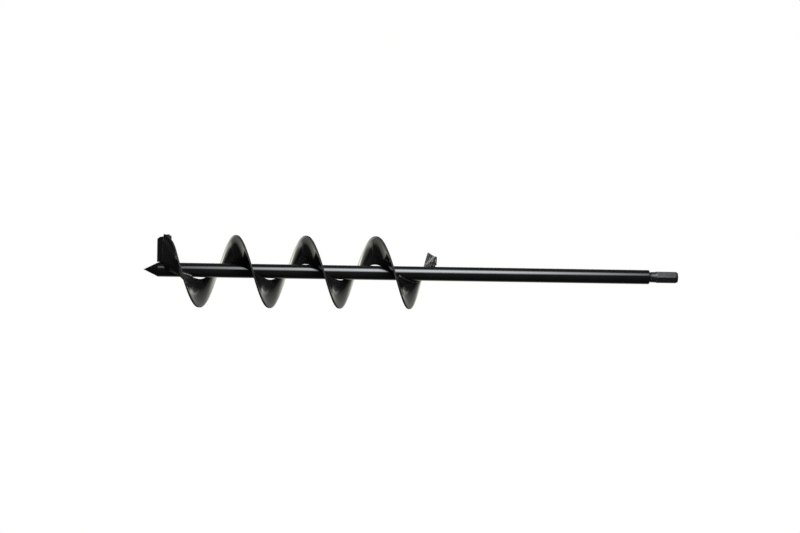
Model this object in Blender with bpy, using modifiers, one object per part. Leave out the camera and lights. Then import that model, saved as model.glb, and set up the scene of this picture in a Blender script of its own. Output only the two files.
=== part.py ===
"""Auger bit for a cordless drill: tube shaft, sectional right-hand flight, welded cutting blade, hex shank.

The frame's origin is the centre of the shank's end face. +X runs from the cone tip to the shank, so the
tip is at X = -TOTAL_LENGTH. Stations are distances from the tip along the shaft. Turn angles grow with the
station: 0 is +Y, a quarter turn is +Z. All sizes are in metres and all angles in degrees, unless a name
says slope, share, power or steps.
"""
import math

import bmesh
import bpy
from mathutils import Matrix, Vector

# Driving dimensions of the shaft line
TOTAL_LENGTH = 0.600
SHAFT_RADIUS = 0.0080
TUBE_BORE_RADIUS = 0.0060
TUBE_START = 0.0158
TUBE_END = 0.5666
CONE_LENGTH = 0.0155
SPIGOT_RADIUS = 0.0057
SPIGOT_LENGTH = 0.022
SPIGOT_BEVEL = 0.0010

# Hexagonal shank, 1/2 inch across flats
HEX_ACROSS_FLATS = 0.0127
HEX_LENGTH = 0.0250
HEX_END_RADIUS = 0.0053
HEX_CHAMFER_SLOPE = math.tan(math.radians(30.0))
NECK_RADIUS = 0.0059
GROOVE_RADIUS = 0.0053
GROOVE_WIDTH = 0.0011
RING_WELD_LENGTH = 0.0018

# Helical flight
FLIGHT_RADIUS = 0.0407
BORE_RADIUS = 0.0088
CLEAR_RADIUS = 0.00832
FLIGHT_THICKNESS = 0.0020
FLIGHT_STATION = 0.0236
FLIGHT_PITCH = 0.0781
FLIGHT_START_ANGLE = 8.0
SEAM_ANGLES = (352.0, 712.0, 1072.0)
SEAM_WIDTH = 0.0030
SEAM_WIDTH_STEPS = 2
SEAM_LENGTH_STEPS = 4
TAIL_PITCH_ANGLE = 1250.0
TAIL_STATION_LOSS = 0.0083
TAIL_LOSS_POWER = 2.5
TAIL_CUT_ANGLE = 1382.0
TAIL_END_ANGLE = 1434.0
TAIL_CHORD_DISTANCE = 0.0185
TAIL_CHORD_ANGLE = 1447.0
RUNOUT_SLOPE = math.tan(math.radians(0.44))
RUNOUT_STATION = 0.209
RUNOUT_LIMIT = 0.0009
ANGLE_STEP = 6.0
RADIAL_STEPS = 4

# The first part of the flight is pressed flat so that the blade can lie on it
LEAD_STATION = 0.0197
LEAD_SLOPE = 0.50
LEAD_FLAT_REACH = 0.0200
LEAD_FLAT_ANGLE = 62.0
LEAD_RIM_BLEND_ANGLE = 34.0
LEAD_ROOT_BLEND_ANGLE = 50.0
LEAD_BLEND_POWER = 2.0

# Cutting blade, lying on the shank side of the flat part
BLADE_THICKNESS = 0.0030
BLADE_CHORD = 0.0336
BLADE_LEADING_STATION = 0.0134
BLADE_INNER_HEIGHT = 0.0085
BLADE_OUTER_HEIGHT = 0.0362
BLADE_OUTER_RISE = 0.0014
BLADE_CORNER_CHORD = 0.0085
BLADE_CORNER_DROP = 0.0021
EDGE_BEVEL_FRONT = (0.0030, 0.0006)
EDGE_BEVEL_BACK = (0.0068, 0.0018)

# Gaps between touching pieces, and between a weld and the flight's twisted faces
GAP = 0.0003
FLIGHT_GAP = 0.0005
CLEARANCE_STEP_ANGLE = 10.0
CLEARANCE_MARGIN_ANGLE = 30.0
START_CLEARANCE_ANGLE = 0.5

# Welds
BEAD_RADIUS = 0.0018
THIN_BEAD_RADIUS = 0.0013
ROOT_BEAD_RADIUS = 0.0020
BEAD_RIPPLE = 0.14
BEAD_RIPPLE_ANGLE = 2.2
BEAD_END_TAPER = 0.62
BEAD_POINT_SPACING = 0.0016
BEAD_PHASE_STEP = 0.8

# Blade welds: places along the chord, outward from the shaft's centre line, and through the thickness
EDGE_WELD_HEIGHTS = (0.0125, 0.0365)
EDGE_WELD_DEPTH = -0.0009
EDGE_WELD_CHORD_SHIFT = -0.0006
RIM_WELD_CHORDS = (0.0220, 0.0318)
RIM_WELD_DEPTH = 0.0008
RIM_WELD_LIFT = 0.0012
TRAILING_WELD_HEIGHTS = (0.0130, 0.0345)
TRAILING_WELD_DEPTH = 0.0007
FRONT_ROOT_WELD_CHORDS = (0.0108, 0.0164)
BACK_ROOT_WELD_CHORDS = (0.0190, 0.0290)
BLADE_ROOT_WELD_LIFT = 0.0002
BLADE_ROOT_WELD_OFFSET = 0.0005

# Root welds, beside the flight's inner edge
ROOT_STEP_ANGLE = 10.0
ROOT_BEAD_LIFT = 0.0016
ROOT_BEAD_HEIGHT = 0.0095
ROOT_WELD_ANGLES = {
    "flight_start_weld": (78.0, 148.0),
    "flight_root_weld_1": (322.0, 380.0),
    "flight_root_weld_2": (590.0, 640.0),
    "flight_root_weld_3": (962.0, 1020.0),
    "flight_last_turn_weld": (1194.0, 1296.0),
}
TAIL_WELD_ANGLES = (1397.0, 1429.0)
TAIL_BEAD_HEIGHT = 0.0091

ROUND_STEPS = 48
MERGE_DISTANCE = 0.00001

LEAD_TILT = math.atan(LEAD_SLOPE)
CHORD_AXIS = Vector((math.sin(LEAD_TILT), 0.0, math.cos(LEAD_TILT)))
SHANK_NORMAL = Vector((math.cos(LEAD_TILT), 0.0, -math.sin(LEAD_TILT)))
RADIAL_AXIS = Vector((0.0, 1.0, 0.0))


def clear_scene():
    for old in list(bpy.data.objects):
        bpy.data.objects.remove(old, do_unlink=True)


def new_collection(name):
    collection = bpy.data.collections.new(name)
    bpy.context.scene.collection.children.link(collection)
    return collection


def new_material(name, colour, roughness, metallic):
    material = bpy.data.materials.new(name)
    material.use_nodes = True
    shader = material.node_tree.nodes["Principled BSDF"]
    shader.inputs["Base Color"].default_value = (*colour, 1.0)
    shader.inputs["Roughness"].default_value = roughness
    shader.inputs["Metallic"].default_value = metallic
    material.diffuse_color = (*colour, 1.0)
    return material


def add_object(name, mesh, collection, material=None):
    obj = bpy.data.objects.new(name, mesh)
    collection.objects.link(obj)
    if material is not None:
        mesh.materials.append(material)
    return obj


def adopt_active(name, collection, material=None):
    """Name the primitive just made and move it to its own collection."""
    obj = bpy.context.active_object
    obj.name = name
    for owner in list(obj.users_collection):
        owner.objects.unlink(obj)
    collection.objects.link(obj)
    if material is not None:
        obj.data.materials.append(material)
    return obj


def hide_cutter(obj):
    obj.hide_render = True
    obj.display_type = "WIRE"


def add_boolean(obj, cutter, operation):
    modifier = obj.modifiers.new(operation.lower() + "_" + cutter.name, "BOOLEAN")
    modifier.operation = operation
    modifier.solver = "EXACT"
    modifier.object = cutter


def station_x(station):
    return station - TOTAL_LENGTH


# ---------------------------------------------------------------- turned pieces


def turned_object(name, profile, collection, material=None, closed=False):
    """Revolve (radius, station) points, listed from the shank end towards the tip, about the shaft."""
    mesh = bpy.data.meshes.new(name)
    points = [(radius, 0.0, station_x(station)) for radius, station in profile]
    edges = [(index, index + 1) for index in range(len(points) - 1)]
    if closed:
        edges.append((len(points) - 1, 0))
    mesh.from_pydata(points, edges, [])
    obj = add_object(name, mesh, collection, material)
    obj.rotation_euler = (0.0, math.pi / 2, 0.0)
    screw = obj.modifiers.new("turn", "SCREW")
    screw.steps = ROUND_STEPS
    screw.render_steps = ROUND_STEPS
    screw.use_merge_vertices = True
    screw.merge_threshold = MERGE_DISTANCE
    weld = obj.modifiers.new("weld", "WELD")
    weld.merge_threshold = MERGE_DISTANCE
    return obj


def make_shaft_tube(collection, material):
    profile = [
        (TUBE_BORE_RADIUS, TUBE_END),
        (SHAFT_RADIUS, TUBE_END),
        (SHAFT_RADIUS, TUBE_START),
        (TUBE_BORE_RADIUS, TUBE_START),
    ]
    return turned_object("shaft_tube", profile, collection, material, closed=True)


def make_tip_point(collection, material):
    end = TUBE_START + SPIGOT_LENGTH
    profile = [
        (0.0, end),
        (SPIGOT_RADIUS - SPIGOT_BEVEL, end),
        (SPIGOT_RADIUS, end - SPIGOT_BEVEL),
        (SPIGOT_RADIUS, CONE_LENGTH),
        (SHAFT_RADIUS, CONE_LENGTH),
        (0.0, 0.0),
    ]
    return turned_object("tip_point", profile, collection, material)


def make_hex_shank(collection, cutters, material):
    """Turned spigot, groove and neck, joined to a hexagon whose end is turned to a cone."""
    hex_start = TOTAL_LENGTH - HEX_LENGTH
    groove_start = TUBE_END + RING_WELD_LENGTH + GAP
    groove_end = groove_start + GROOVE_WIDTH
    spigot_start = TUBE_END - SPIGOT_LENGTH
    overlap = GROOVE_WIDTH
    profile = [
        (0.0, hex_start + overlap),
        (NECK_RADIUS, hex_start + overlap),
        (NECK_RADIUS, groove_end),
        (GROOVE_RADIUS, groove_end),
        (GROOVE_RADIUS, groove_start),
        (SPIGOT_RADIUS, groove_start),
        (SPIGOT_RADIUS, spigot_start + SPIGOT_BEVEL),
        (SPIGOT_RADIUS - SPIGOT_BEVEL, spigot_start),
        (0.0, spigot_start),
    ]
    shank = turned_object("hex_shank", profile, collection, material)

    corner_radius = HEX_ACROSS_FLATS / math.sqrt(3.0)
    bpy.ops.mesh.primitive_cylinder_add(
        vertices=6,
        radius=corner_radius,
        depth=HEX_LENGTH,
        location=(-HEX_LENGTH / 2, 0.0, 0.0),
        rotation=(math.pi / 2, 0.0, math.pi / 2),
    )
    hexagon = adopt_active("hexagon_body", cutters)
    hide_cutter(hexagon)

    clear_radius = corner_radius + NECK_RADIUS
    chamfer_length = (clear_radius - HEX_END_RADIUS) / HEX_CHAMFER_SLOPE
    envelope_profile = [
        (0.0, TOTAL_LENGTH + GAP),
        (HEX_END_RADIUS - GAP * HEX_CHAMFER_SLOPE, TOTAL_LENGTH + GAP),
        (clear_radius, TOTAL_LENGTH - chamfer_length),
        (clear_radius, hex_start - GAP),
        (0.0, hex_start - GAP),
    ]
    envelope = turned_object("hexagon_envelope", envelope_profile, cutters)
    hide_cutter(envelope)
    add_boolean(hexagon, envelope, "INTERSECT")
    add_boolean(shank, hexagon, "UNION")
    return shank


def make_shank_weld_ring(collection, material):
    """Ring of weld metal that closes the tube's end, dressed to a cone down to the neck."""
    start = TUBE_END + GAP
    end = TUBE_END + RING_WELD_LENGTH
    inner = SPIGOT_RADIUS + GAP
    profile = [
        (inner, end),
        (inner + GAP, end),
        (SHAFT_RADIUS, start),
        (inner, start),
    ]
    return turned_object("shank_weld_ring", profile, collection, material, closed=True)


# ---------------------------------------------------------------- flight surface


def axis_lean(station):
    """Offset in Y of the flight's own axis, which leans slightly against the shaft's."""
    return max(-RUNOUT_LIMIT, (station - RUNOUT_STATION) * RUNOUT_SLOPE)


def runout(station, radius):
    """Shift of the flight in Y, which grows from nothing at the shaft to the full lean at the rim."""
    outward = (radius - CLEAR_RADIUS) / (FLIGHT_RADIUS - CLEAR_RADIUS)
    return axis_lean(station) * max(0.0, outward)


def helix_station(angle):
    """Station of the plain helix, whose pitch drops towards the tail."""
    station = FLIGHT_STATION + FLIGHT_PITCH * angle / 360.0
    past_tail = max(0.0, angle - TAIL_PITCH_ANGLE) / (TAIL_END_ANGLE - TAIL_PITCH_ANGLE)
    return station - TAIL_STATION_LOSS * past_tail ** TAIL_LOSS_POWER


def lead_share(angle, radius):
    """1 where the flight is pressed flat, falling smoothly to 0 on the plain helix, sooner at the rim."""
    sine = min(math.sin(math.radians(LEAD_FLAT_ANGLE)), LEAD_FLAT_REACH / radius)
    flat_angle = math.degrees(math.asin(sine))
    inward = (FLIGHT_RADIUS - radius) / (FLIGHT_RADIUS - SHAFT_RADIUS)
    blend = LEAD_RIM_BLEND_ANGLE + (LEAD_ROOT_BLEND_ANGLE - LEAD_RIM_BLEND_ANGLE) * inward
    past_flat = max(0.0, angle - flat_angle) / max(blend, LEAD_RIM_BLEND_ANGLE)
    return math.exp(-(past_flat ** LEAD_BLEND_POWER))


def flight_point(angle, radius):
    """Point of the flight's middle surface."""
    turn = math.radians(angle)
    share = lead_share(angle, radius)
    flat = LEAD_STATION + LEAD_SLOPE * radius * math.sin(turn)
    station = share * flat + (1.0 - share) * helix_station(angle)
    y = radius * math.cos(turn) + runout(station, radius)
    return Vector((station_x(station), y, radius * math.sin(turn)))


def flight_normal(angle, radius):
    """Unit normal of the middle surface, towards the shank."""
    small_angle = 0.5
    small_radius = 0.0002
    along = flight_point(angle + small_angle, radius) - flight_point(angle - small_angle, radius)
    outward = flight_point(angle, radius + small_radius) - flight_point(angle, radius - small_radius)
    return outward.cross(along).normalized()


def inner_radius(angle):
    """Distance of the inner edge from the shaft: a round bore on the leaning axis, kept clear of the tube."""
    lean = axis_lean(helix_station(angle))
    return max(CLEAR_RADIUS, BORE_RADIUS + lean * math.cos(math.radians(angle)))


def outer_radius(angle):
    """The rim's radius, cut to a straight chord at the tail."""
    if angle <= TAIL_CUT_ANGLE:
        return FLIGHT_RADIUS
    chord = TAIL_CHORD_DISTANCE / math.cos(math.radians(angle - TAIL_CHORD_ANGLE))
    return min(FLIGHT_RADIUS, chord)


def angle_rows(start, end, step):
    count = max(2, round((end - start) / step))
    return [start + (end - start) * index / count for index in range(count + 1)]


def edge_angle(half_width, radius):
    """Angle that a straight strip's half width covers at a radius."""
    return math.degrees(math.asin(half_width / radius))


def flight_sheet(name, angles, collection, material, thickness, grow=0.0, trim_start=0.0, trim_end=0.0):
    """Wrap a grid on the flight surface between two ends, and give it thickness.

    grow moves both rims outward, and the trims take a strip of that width off the two ends.
    """
    bpy.ops.mesh.primitive_grid_add(x_subdivisions=len(angles) - 1, y_subdivisions=RADIAL_STEPS, size=1.0)
    sheet = adopt_active(name, collection, material)
    first = angles[0]
    last = angles[-1]
    for vertex in sheet.data.vertices:
        column = round((vertex.co.x + 0.5) * (len(angles) - 1))
        across = vertex.co.y + 0.5
        angle = angles[column]
        inner = inner_radius(angle) - grow
        radius = inner + (outer_radius(angle) + grow - inner) * across
        progress = (angle - first) / (last - first)
        start_shift = edge_angle(trim_start, radius) * (1.0 - progress)
        end_shift = edge_angle(trim_end, radius) * progress
        vertex.co = flight_point(angle + start_shift - end_shift, radius)
    solidify = sheet.modifiers.new("thickness", "SOLIDIFY")
    solidify.thickness = thickness
    solidify.offset = 0.0
    return sheet


def make_flight_sections(collection, material):
    starts = (FLIGHT_START_ANGLE, *SEAM_ANGLES)
    ends = (*SEAM_ANGLES, TAIL_CUT_ANGLE)
    seam_trim = SEAM_WIDTH / 2 + GAP
    for index, (start, end) in enumerate(zip(starts, ends)):
        is_first = index == 0
        is_last = index == len(starts) - 1
        angles = angle_rows(start, end, ANGLE_STEP)
        if is_last:
            angles += angle_rows(end, TAIL_END_ANGLE, ANGLE_STEP)[1:]
        flight_sheet(
            f"flight_section_{index + 1}",
            angles,
            collection,
            material,
            FLIGHT_THICKNESS,
            trim_start=0.0 if is_first else seam_trim,
            trim_end=0.0 if is_last else seam_trim,
        )


def make_seam_welds(collection, material):
    """Straight radial welds, dressed flush, between neighbouring sections."""
    for index, seam in enumerate(SEAM_ANGLES):
        bpy.ops.mesh.primitive_grid_add(
            x_subdivisions=SEAM_WIDTH_STEPS,
            y_subdivisions=SEAM_LENGTH_STEPS,
            size=1.0,
        )
        strip = adopt_active(f"section_seam_weld_{index + 1}", collection, material)
        for vertex in strip.data.vertices:
            across = vertex.co.y + 0.5
            inner = inner_radius(seam)
            radius = inner + (FLIGHT_RADIUS - inner) * across
            shift = edge_angle(SEAM_WIDTH / 2, radius) * vertex.co.x * 2.0
            vertex.co = flight_point(seam + shift, radius)
        solidify = strip.modifiers.new("thickness", "SOLIDIFY")
        solidify.thickness = FLIGHT_THICKNESS
        solidify.offset = 0.0


# ---------------------------------------------------------------- blade


def blade_origin():
    """Where the blade's tip-side face would meet its leading edge if it were not ground."""
    face_station = LEAD_STATION + (FLIGHT_THICKNESS / 2 + GAP) / math.cos(LEAD_TILT)
    z = (BLADE_LEADING_STATION - face_station) / LEAD_SLOPE
    return Vector((station_x(BLADE_LEADING_STATION), 0.0, z))


def blade_point(chord, depth, height):
    return blade_origin() + CHORD_AXIS * chord + SHANK_NORMAL * depth + RADIAL_AXIS * height


def blade_matrix(chord, depth, height):
    """Frame at a place on the blade: X along the chord, Y through the thickness, Z outward."""
    frame = Matrix((CHORD_AXIS, SHANK_NORMAL, RADIAL_AXIS)).transposed().to_4x4()
    return Matrix.Translation(blade_point(chord, depth, height)) @ frame


def outline_prism(name, outline, length, collection, material=None):
    """A flat closed outline, extruded along its own Z, as a mesh."""
    curve = bpy.data.curves.new(name, "CURVE")
    curve.dimensions = "2D"
    curve.fill_mode = "BOTH"
    curve.extrude = length / 2
    spline = curve.splines.new("POLY")
    spline.points.add(len(outline) - 1)
    for point, (x, y) in zip(spline.points, outline):
        point.co = (x, y, 0.0, 1.0)
    spline.use_cyclic_u = True
    curve_object = add_object(name + "_curve", curve, collection)
    return curve_to_mesh(name, curve_object, collection, material)


def curve_to_mesh(name, curve_object, collection, material=None):
    bpy.context.view_layer.update()
    depsgraph = bpy.context.evaluated_depsgraph_get()
    mesh = bpy.data.meshes.new_from_object(curve_object.evaluated_get(depsgraph))
    mesh.name = name
    mesh.materials.clear()
    shape = bmesh.new()
    shape.from_mesh(mesh)
    bmesh.ops.remove_doubles(shape, verts=shape.verts, dist=MERGE_DISTANCE)
    bmesh.ops.recalc_face_normals(shape, faces=shape.faces)
    shape.to_mesh(mesh)
    shape.free()
    obj = add_object(name, mesh, collection, material)
    obj.matrix_world = curve_object.matrix_world
    bpy.data.objects.remove(curve_object, do_unlink=True)
    return obj


def blade_section(clearance=0.0):
    """Outline of the blade across its length, ground on both faces at the leading edge."""
    front_length, front_depth = EDGE_BEVEL_FRONT
    back_length, back_depth = EDGE_BEVEL_BACK
    near = -clearance
    far = BLADE_THICKNESS + clearance
    return [
        (-clearance, front_depth - clearance),
        (front_length, near),
        (BLADE_CHORD + clearance, near),
        (BLADE_CHORD + clearance, far),
        (back_length, far),
        (-clearance, BLADE_THICKNESS - back_depth + clearance),
    ]


def make_blade(collection, cutters, material):
    highest = BLADE_OUTER_HEIGHT + BLADE_OUTER_RISE
    length = highest - BLADE_INNER_HEIGHT
    middle = (highest + BLADE_INNER_HEIGHT) / 2
    blade = outline_prism("cutting_blade", blade_section(), length, collection, material)
    blade.matrix_world = blade_matrix(0.0, 0.0, middle)

    # The outer end rises a little towards the trailing edge, and its leading corner is cut off.
    block = BLADE_CHORD * 2
    rise_angle = math.atan2(BLADE_OUTER_RISE, BLADE_CHORD)
    corner_angle = math.atan2(BLADE_CORNER_DROP, BLADE_CORNER_CHORD)
    cuts = (
        ("blade_end_cutter", 0.0, BLADE_OUTER_HEIGHT, rise_angle),
        ("blade_corner_cutter", 0.0, BLADE_OUTER_HEIGHT - BLADE_CORNER_DROP, corner_angle + rise_angle),
    )
    for name, chord, height, angle in cuts:
        bpy.ops.mesh.primitive_cube_add(size=block)
        cutter = adopt_active(name, cutters)
        lift = Matrix.Translation((0.0, 0.0, block / 2))
        turn = Matrix.Rotation(-angle, 4, "Y")
        cutter.matrix_world = blade_matrix(chord, 0.0, height) @ turn @ lift
        hide_cutter(cutter)
        add_boolean(blade, cutter, "DIFFERENCE")
    return blade


# ---------------------------------------------------------------- weld beads


def even_path(corners):
    """Points at the bead's spacing along the straight runs between corners."""
    path = [Vector(corners[0])]
    for start, end in zip(corners, corners[1:]):
        count = max(1, round((end - start).length / BEAD_POINT_SPACING))
        path += [start.lerp(end, index / count) for index in range(1, count + 1)]
    return path


def bead(name, corners, radius, collection, material, clearances, phase=0.0):
    """A rippled bead of weld metal along a path, trimmed clear of the pieces that it joins."""
    path = even_path(corners)
    curve = bpy.data.curves.new(name, "CURVE")
    curve.dimensions = "3D"
    curve.bevel_depth = radius
    curve.bevel_resolution = 2
    curve.use_fill_caps = True
    spline = curve.splines.new("POLY")
    spline.points.add(len(path) - 1)
    last = len(path) - 1
    for index, (point, place) in enumerate(zip(spline.points, path)):
        point.co = (*place, 1.0)
        taper = BEAD_END_TAPER if index in (0, last) else 1.0
        point.radius = taper * (1.0 + BEAD_RIPPLE * math.sin(BEAD_RIPPLE_ANGLE * index + phase))
    curve_object = add_object(name + "_curve", curve, collection)
    obj = curve_to_mesh(name, curve_object, collection, material)
    for clearance in clearances:
        add_boolean(obj, clearance, "DIFFERENCE")
    return obj


def root_path(start, end, lift, radius):
    """Path beside the flight's inner edge, lifted off the middle surface towards the shank."""
    return [
        flight_point(angle, radius) + flight_normal(angle, radius) * lift
        for angle in angle_rows(start, end, ROOT_STEP_ANGLE)
    ]


def flight_clearance(name, start, end, cutters):
    """A grown copy of a stretch of the flight, which keeps a weld clear of it."""
    sheet = flight_sheet(
        name,
        angle_rows(start, end, CLEARANCE_STEP_ANGLE),
        cutters,
        None,
        FLIGHT_THICKNESS + 2 * FLIGHT_GAP,
        grow=FLIGHT_GAP,
    )
    hide_cutter(sheet)
    return sheet


def make_tube_clearance(cutters):
    radius = SHAFT_RADIUS + GAP
    start = CONE_LENGTH - GAP
    profile = [(0.0, TUBE_END), (radius, TUBE_END), (radius, start), (0.0, start)]
    tube = turned_object("tube_clearance", profile, cutters)
    hide_cutter(tube)
    return tube


def make_blade_clearance(cutters):
    low = BLADE_INNER_HEIGHT - GAP
    high = BLADE_OUTER_HEIGHT + BLADE_OUTER_RISE + GAP / 2
    blade = outline_prism("blade_clearance", blade_section(GAP), high - low, cutters)
    blade.matrix_world = blade_matrix(0.0, 0.0, (high + low) / 2)
    hide_cutter(blade)
    return blade


def edge_weld_corners():
    """Ends of the weld between the flight's leading edge and the blade's tip-side face."""
    corners = []
    for height in EDGE_WELD_HEIGHTS:
        foot = flight_point(FLIGHT_START_ANGLE, height)
        chord = (foot - blade_origin()).dot(CHORD_AXIS) + EDGE_WELD_CHORD_SHIFT
        corners.append(blade_point(chord, EDGE_WELD_DEPTH, foot.y))
    return corners


def make_blade_welds(collection, cutters, material, tube):
    """Beads that hold the blade to the flight's flat part and to the shaft."""
    blade = make_blade_clearance(cutters)
    lead_start = FLIGHT_START_ANGLE - START_CLEARANCE_ANGLE
    lead_end = LEAD_FLAT_ANGLE + LEAD_ROOT_BLEND_ANGLE + CLEARANCE_MARGIN_ANGLE
    lead = flight_clearance("lead_clearance", lead_start, lead_end, cutters)

    rim = BLADE_OUTER_HEIGHT + RIM_WELD_LIFT
    behind = BLADE_CHORD + GAP
    root = BLADE_INNER_HEIGHT + BLADE_ROOT_WELD_LIFT
    back = BLADE_THICKNESS + BLADE_ROOT_WELD_OFFSET
    rim_corners = [blade_point(chord, RIM_WELD_DEPTH, rim) for chord in RIM_WELD_CHORDS]
    trailing_corners = [blade_point(behind, TRAILING_WELD_DEPTH, height) for height in TRAILING_WELD_HEIGHTS]
    front_corners = [blade_point(chord, -BLADE_ROOT_WELD_OFFSET, root) for chord in FRONT_ROOT_WELD_CHORDS]
    back_corners = [blade_point(chord, back, root) for chord in BACK_ROOT_WELD_CHORDS]
    welds = (
        ("blade_edge_weld", edge_weld_corners(), THIN_BEAD_RADIUS, (lead, blade)),
        ("blade_rim_weld", rim_corners, BEAD_RADIUS, (lead, blade)),
        ("blade_trailing_weld", trailing_corners, BEAD_RADIUS, (lead, blade)),
        ("blade_root_weld", front_corners, BEAD_RADIUS, (lead, blade, tube)),
        ("blade_back_root_weld", back_corners, BEAD_RADIUS, (lead, blade, tube)),
    )
    for index, (name, corners, radius, clearances) in enumerate(welds):
        bead(name, corners, radius, collection, material, clearances, BEAD_PHASE_STEP * index)


def make_root_welds(collection, cutters, material, tube):
    """Beads along the flight's inner edge that hold its turns to the shaft."""
    welds = [
        (name, start, end, ROOT_BEAD_LIFT, ROOT_BEAD_HEIGHT)
        for name, (start, end) in ROOT_WELD_ANGLES.items()
    ]
    welds.append(("flight_tail_weld", *TAIL_WELD_ANGLES, -ROOT_BEAD_LIFT, TAIL_BEAD_HEIGHT))
    for index, (name, start, end, lift, height) in enumerate(welds):
        sheet_start = start - CLEARANCE_MARGIN_ANGLE
        sheet_end = end + CLEARANCE_MARGIN_ANGLE
        sheet = flight_clearance(name + "_clearance", sheet_start, sheet_end, cutters)
        path = root_path(start, end, lift, height)
        phase = BEAD_PHASE_STEP * index
        bead(name, path, ROOT_BEAD_RADIUS, collection, material, (tube, sheet), phase)


def build():
    clear_scene()
    parts = new_collection("auger_bit")
    cutters = new_collection("cutters")
    enamel = new_material("black_enamel", (0.012, 0.012, 0.013), 0.22, 0.0)
    blade_enamel = new_material("blade_enamel", (0.014, 0.014, 0.014), 0.35, 0.0)
    shank_steel = new_material("dark_shank_steel", (0.09, 0.09, 0.095), 0.35, 0.8)
    weld_enamel = new_material("weld_enamel", (0.02, 0.02, 0.02), 0.35, 0.0)

    make_shaft_tube(parts, enamel)
    make_tip_point(parts, enamel)
    make_hex_shank(parts, cutters, shank_steel)
    make_shank_weld_ring(parts, weld_enamel)
    make_flight_sections(parts, enamel)
    make_seam_welds(parts, weld_enamel)
    make_blade(parts, cutters, blade_enamel)
    tube = make_tube_clearance(cutters)
    make_blade_welds(parts, cutters, weld_enamel, tube)
    make_root_welds(parts, cutters, weld_enamel, tube)


build()
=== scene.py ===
"""Looks of the drill-driven auger bit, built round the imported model.

The frame's origin is the centre of the shank's end face and +X runs from the cone tip to the shank.
Stations are distances from the tip along the shaft. Turn angles grow with the station: 0 is +Y and a
quarter turn is +Z. Sizes are in metres and angles in degrees, unless a name says slope, share, power or
steps.
"""
import math
import random

import bmesh
import bpy
from mathutils import Matrix, Vector, noise


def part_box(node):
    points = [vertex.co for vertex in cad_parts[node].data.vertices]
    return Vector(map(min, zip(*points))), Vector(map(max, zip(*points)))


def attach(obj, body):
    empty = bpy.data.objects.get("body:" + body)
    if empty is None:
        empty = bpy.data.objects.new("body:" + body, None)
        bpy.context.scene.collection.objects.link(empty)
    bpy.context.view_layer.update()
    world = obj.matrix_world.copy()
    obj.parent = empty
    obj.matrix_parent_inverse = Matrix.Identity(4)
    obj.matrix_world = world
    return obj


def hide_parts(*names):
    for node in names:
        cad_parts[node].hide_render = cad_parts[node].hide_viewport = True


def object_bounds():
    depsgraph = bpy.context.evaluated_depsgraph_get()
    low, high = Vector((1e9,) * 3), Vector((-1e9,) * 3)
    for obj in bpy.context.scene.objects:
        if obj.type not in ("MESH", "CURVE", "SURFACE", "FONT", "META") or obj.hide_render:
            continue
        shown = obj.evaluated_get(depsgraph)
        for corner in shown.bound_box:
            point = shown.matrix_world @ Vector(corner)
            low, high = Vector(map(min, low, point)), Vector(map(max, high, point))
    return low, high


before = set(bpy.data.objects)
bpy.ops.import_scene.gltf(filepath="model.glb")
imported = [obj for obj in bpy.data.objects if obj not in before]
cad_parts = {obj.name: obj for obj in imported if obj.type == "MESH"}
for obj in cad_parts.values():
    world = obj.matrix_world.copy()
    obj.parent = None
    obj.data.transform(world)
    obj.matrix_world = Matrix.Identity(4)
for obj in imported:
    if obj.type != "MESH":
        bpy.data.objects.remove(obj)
cad_low, cad_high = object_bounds()

# Driving dimensions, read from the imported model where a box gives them
TOTAL_LENGTH = cad_high.x - cad_low.x
TUBE_LOW, TUBE_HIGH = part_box("shaft_tube")
_, RING_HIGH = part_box("shank_weld_ring")
_, SHANK_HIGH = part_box("hex_shank")
SHAFT_RADIUS = TUBE_HIGH.z
TUBE_START = TUBE_LOW.x - cad_low.x
TUBE_END = TUBE_HIGH.x - cad_low.x
RING_END = RING_HIGH.x - cad_low.x
HEX_APOTHEM = SHANK_HIGH.y
SHAFT_STEPS = 160

# Tip and shaft
TIP_APEX_RADIUS = 0.00035
TIP_APEX_START = 176.0
TIP_APEX_STEPS = 5
TIP_CONE_ROWS = 24
TIP_CONE_RELIEF = 0.1
TIP_SHOULDER_RADIUS = 0.0005
TIP_SHOULDER_STEPS = ((-0.8, 0.42), (0.0, 0.12), (1.0, 0.02))
TIP_SHOULDER_REACH = 2
TUBE_START_SHIFT = 0.5
TUBE_ROWS = 60

# Weld ring at the drive end
RING_OVERLAP = 0.0002
RING_RELIEF = 0.0001
RING_ROUND_RADIUS = 0.0009
RING_ROUND_END = 22.0
RING_ROUND_STEPS = 7
RING_WAVES = 26
RING_WAVE_DEPTH = 0.00007

# Shank
HEX_LENGTH = 0.0250
HEX_END_RADIUS = 0.0053
HEX_CHAMFER_SLOPE = math.tan(math.radians(30.0))
HEX_CORNER_BREAK = 0.00010
HEX_CORNER_SHARE = 1.1
HEX_CORNER_ANGLE = 2.4
HEX_CLEAR_SHARE = 1.2
HEX_CHAMFER_SHARE = 1.18
HEX_SHOULDER_LENGTH = 0.0009
HEX_SHOULDER_FLAT = 0.0002
HEX_BODY_ROWS = 12
HEX_CHAMFER_ROWS = 22
HEX_END_BREAK = 0.00015
HEX_END_DROP = 0.00008
HEX_SHARP_ANGLE = 16.0
HEX_STEPS = 144
NECK_RADIUS = 0.0059
GROOVE_RADIUS = 0.0053
GROOVE_WIDTH = 0.0011
GROOVE_WALL = 0.0003
GROOVE_OVERLAP = 0.0001
NECK_EDGE_DROP = 0.0001
NECK_EDGE_LENGTH = 0.0002
NECK_FILLET = 0.0008
NECK_FILLET_RISES = ((1.0, 0.0), (0.3, 0.00008), (0.0, 0.0003))

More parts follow.
